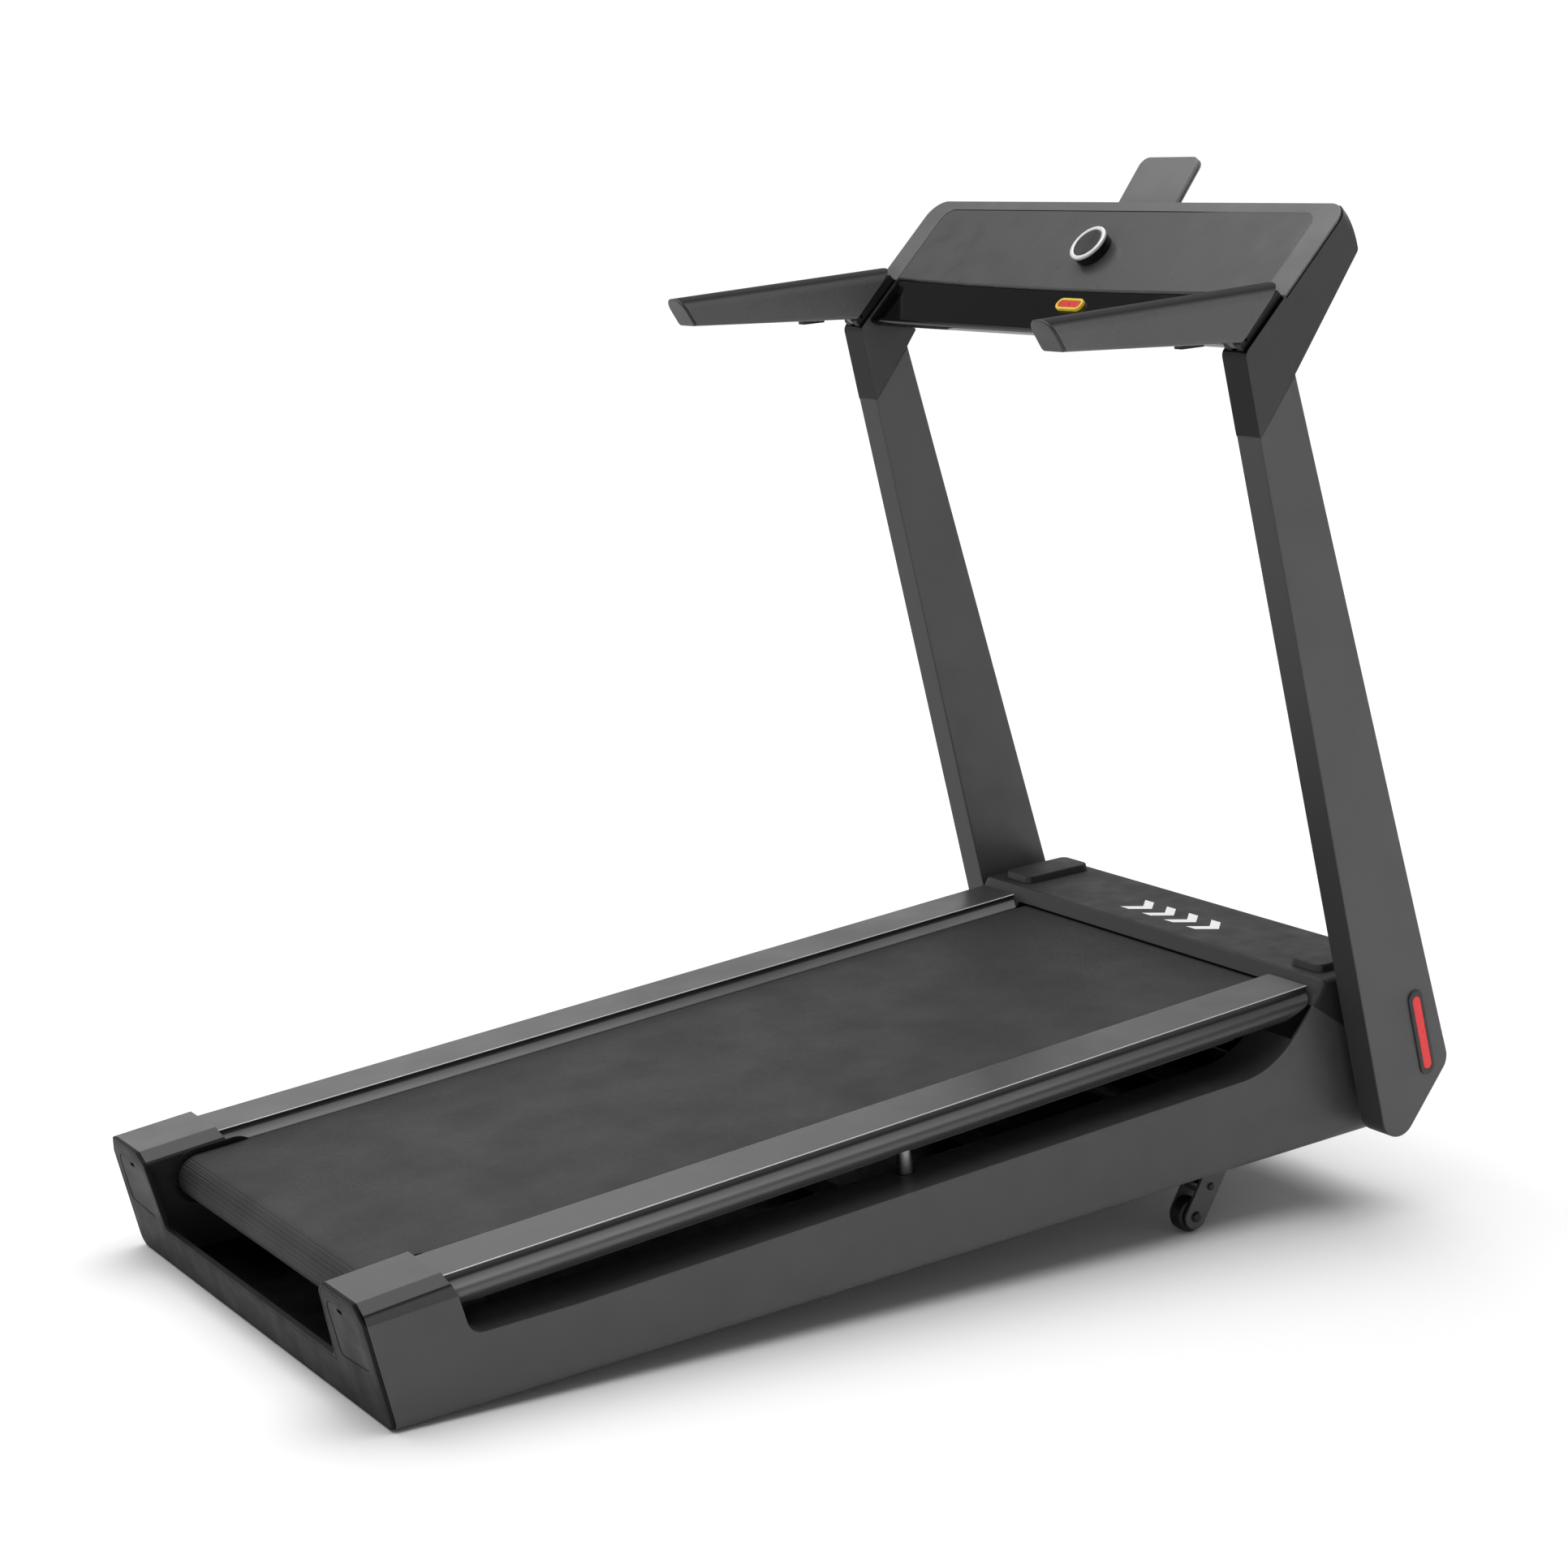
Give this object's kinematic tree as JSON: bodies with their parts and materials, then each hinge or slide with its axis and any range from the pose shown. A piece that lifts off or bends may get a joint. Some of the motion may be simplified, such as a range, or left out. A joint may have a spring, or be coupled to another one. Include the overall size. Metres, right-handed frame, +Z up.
{
  "type": "treadmill",
  "caption": "Home running machine: inclined base with rear towers and folding lift wheels, sprung deck with belt drive, folding mast with handles, knob and tablet rest",
  "frame": {"origin": "On the floor, at the middle of the whole machine's bounding box", "axes": "+X is the walker's right, +Y points forward from the belt to the console, +Z is up"},
  "size_m": [0.7548, 1.3412, 1.1939],
  "materials": {
    "frame_metal": "fine textured dark grey paint",
    "dark_plastic": "matt moulded",
    "grey_plastic": "matt moulded",
    "rail_metal": "bead blasted and anodised grey",
    "belt": "woven top",
    "board": "waxed board",
    "steel": "turned",
    "motor": "gloss paint",
    "console_grey": "satin painted",
    "gloss_black": "polished",
    "handle": "satin painted",
    "tyre": "plain tread",
    "black_rubber": "matt",
    "chrome": "polished",
    "reflector": "prismatic",
    "key_red": "satin"
  },
  "bodies": {
    "base": {"base_side_left": "frame_metal", "base_side_right": "frame_metal", "rear_frame": "dark_plastic", "end_panels": "grey_plastic", "tower_caps": "grey_plastic", "cross_members": "frame_metal", "belly_pan": "dark_plastic", "rear_feet": "black_rubber", "hood": "dark_plastic", "hood_pads": "grey_plastic", "front_panel": "dark_plastic", "power_module": "dark_plastic", "motor_controller": "dark_plastic", "post_sleeves": "black_rubber", "lift_actuator": "dark_plastic", "mast_pivots": "frame_metal"},
    "power_switch": {"power_rocker": "gloss_black"},
    "lift_frame": {"lift_torque_tube": "frame_metal", "lift_legs": "frame_metal", "leg_bolts": "steel"},
    "lift_screw": {"lift_rod": "steel"},
    "wheel_left": {"tyre_left": "tyre", "hub_left": "gloss_black"},
    "wheel_right": {"tyre_right": "tyre", "hub_right": "gloss_black"},
    "deck": {"side_rail_left": "rail_metal", "side_rail_right": "rail_metal", "deck_board": "board", "running_belt": "belt", "deck_subframe": "frame_metal", "shock_posts": "steel", "roller_guards": "dark_plastic", "roller_axles": "steel", "drive_frame": "frame_metal", "drive_motor": "motor", "drive_belt": "black_rubber"},
    "front_drum": {"front_roller": "steel", "roller_pulley": "steel"},
    "rear_drum": {"rear_roller": "steel"},
    "rotor": {"motor_rotor": "steel"},
    "mast": {"upright_left": "frame_metal", "upright_right": "frame_metal", "necks": "console_grey", "reflector_bezels": "dark_plastic", "reflectors": "reflector", "console_rim": "console_grey", "console_panel": "console_grey", "console_housing": "gloss_black", "handle_hinges": "dark_plastic"},
    "knob": {"knob_body": "gloss_black", "knob_ring": "chrome"},
    "knob_push": {"knob_button": "gloss_black"},
    "key": {"safety_key": "key_red"},
    "tablet_rest": {"tablet_plate": "console_grey"},
    "arm_left": {"handle_left": "handle", "handle_cap_left": "dark_plastic"},
    "arm_right": {"handle_right": "handle", "handle_cap_right": "dark_plastic"},
    "trigger_left": {"grip_button_left": "black_rubber"},
    "trigger_right": {"grip_button_right": "black_rubber"}
  },
  "joints": [
    {"name": "deck_cushion", "type": "slide", "parent": "base", "child": "deck", "axis": [0, -0.1197, 0.9928], "range_m": [-0.004, 0], "stiffness_N_per_m": 90000, "springref_m": 0.008},
    {"name": "front_roller_spin", "type": "hinge", "parent": "deck", "child": "front_drum", "pos_m": [0, 0.56442, 0.24155], "axis": [1, 0, 0], "continuous": true},
    {"name": "rear_roller_spin", "type": "hinge", "parent": "deck", "child": "rear_drum", "pos_m": [0, -0.60511, 0.10056], "axis": [1, 0, 0], "continuous": true},
    {"name": "motor_spin", "type": "hinge", "parent": "deck", "child": "rotor", "pos_m": [-0.175, 0.55637, 0.15124], "axis": [1, 0, 0], "continuous": true},
    {"name": "lift_leg_swing", "type": "hinge", "parent": "base", "child": "lift_frame", "pos_m": [0, 0.42202, 0.10223], "axis": [1, 0, 0], "range_deg": [-53, 0]},
    {"name": "lift_rod_slide", "type": "slide", "parent": "base", "child": "lift_screw", "axis": [0, 0.9972, 0.0745], "range_m": [0, 0.036]},
    {"name": "wheel_left_spin", "type": "hinge", "parent": "lift_frame", "child": "wheel_left", "pos_m": [-0.274, 0.37535, 0.01949], "axis": [1, 0, 0], "continuous": true},
    {"name": "wheel_right_spin", "type": "hinge", "parent": "lift_frame", "child": "wheel_right", "pos_m": [0.274, 0.37535, 0.01949], "axis": [1, 0, 0], "continuous": true},
    {"name": "mast_fold", "type": "hinge", "parent": "base", "child": "mast", "pos_m": [0, 0.61787, 0.15987], "axis": [1, 0, 0], "range_deg": [0, 70]},
    {"name": "handle_left_fold", "type": "hinge", "parent": "mast", "child": "arm_left", "pos_m": [-0.356, 0.33952, 0.99825], "axis": [1, 0, 0], "range_deg": [0, 85]},
    {"name": "handle_right_fold", "type": "hinge", "parent": "mast", "child": "arm_right", "pos_m": [0.356, 0.33952, 0.99825], "axis": [1, 0, 0], "range_deg": [0, 85]},
    {"name": "knob_turn", "type": "hinge", "parent": "mast", "child": "knob", "pos_m": [0.008, 0.42298, 1.0913], "axis": [0, -0.7428, 0.6695], "continuous": true},
    {"name": "knob_press", "type": "slide", "parent": "knob", "child": "knob_push", "axis": [0, -0.7428, 0.6695], "range_m": [-0.002, 0], "stiffness_N_per_m": 1200, "springref_m": 0.001},
    {"name": "safety_key_pull", "type": "slide", "parent": "mast", "child": "key", "axis": [0, -0.7428, 0.6695], "range_m": [0, 0.03]},
    {"name": "tablet_slide", "type": "slide", "parent": "mast", "child": "tablet_rest", "axis": [0, 0.5697, 0.8219], "range_m": [-0.045, 0]},
    {"name": "grip_button_left_press", "type": "slide", "parent": "arm_left", "child": "trigger_left", "axis": [0, -0.0745, 0.9972], "range_m": [0, 0.0015], "stiffness_N_per_m": 900, "springref_m": -0.001},
    {"name": "grip_button_right_press", "type": "slide", "parent": "arm_right", "child": "trigger_right", "axis": [0, -0.0745, 0.9972], "range_m": [0, 0.0015], "stiffness_N_per_m": 900, "springref_m": -0.001},
    {"name": "power_switch_rock", "type": "hinge", "parent": "base", "child": "power_switch", "pos_m": [-0.158, 0.65277, 0.16248], "axis": [1, 0, 0], "range_deg": [-8, 8]}
  ],
  "couplings": [
    {"joint": "rear_roller_spin", "follows": "front_roller_spin", "ratio": 1},
    {"joint": "motor_spin", "follows": "front_roller_spin", "ratio": 2.4615},
    {"joint": "lift_rod_slide", "follows": "lift_leg_swing", "m_per_rad": -0.0386}
  ]
}
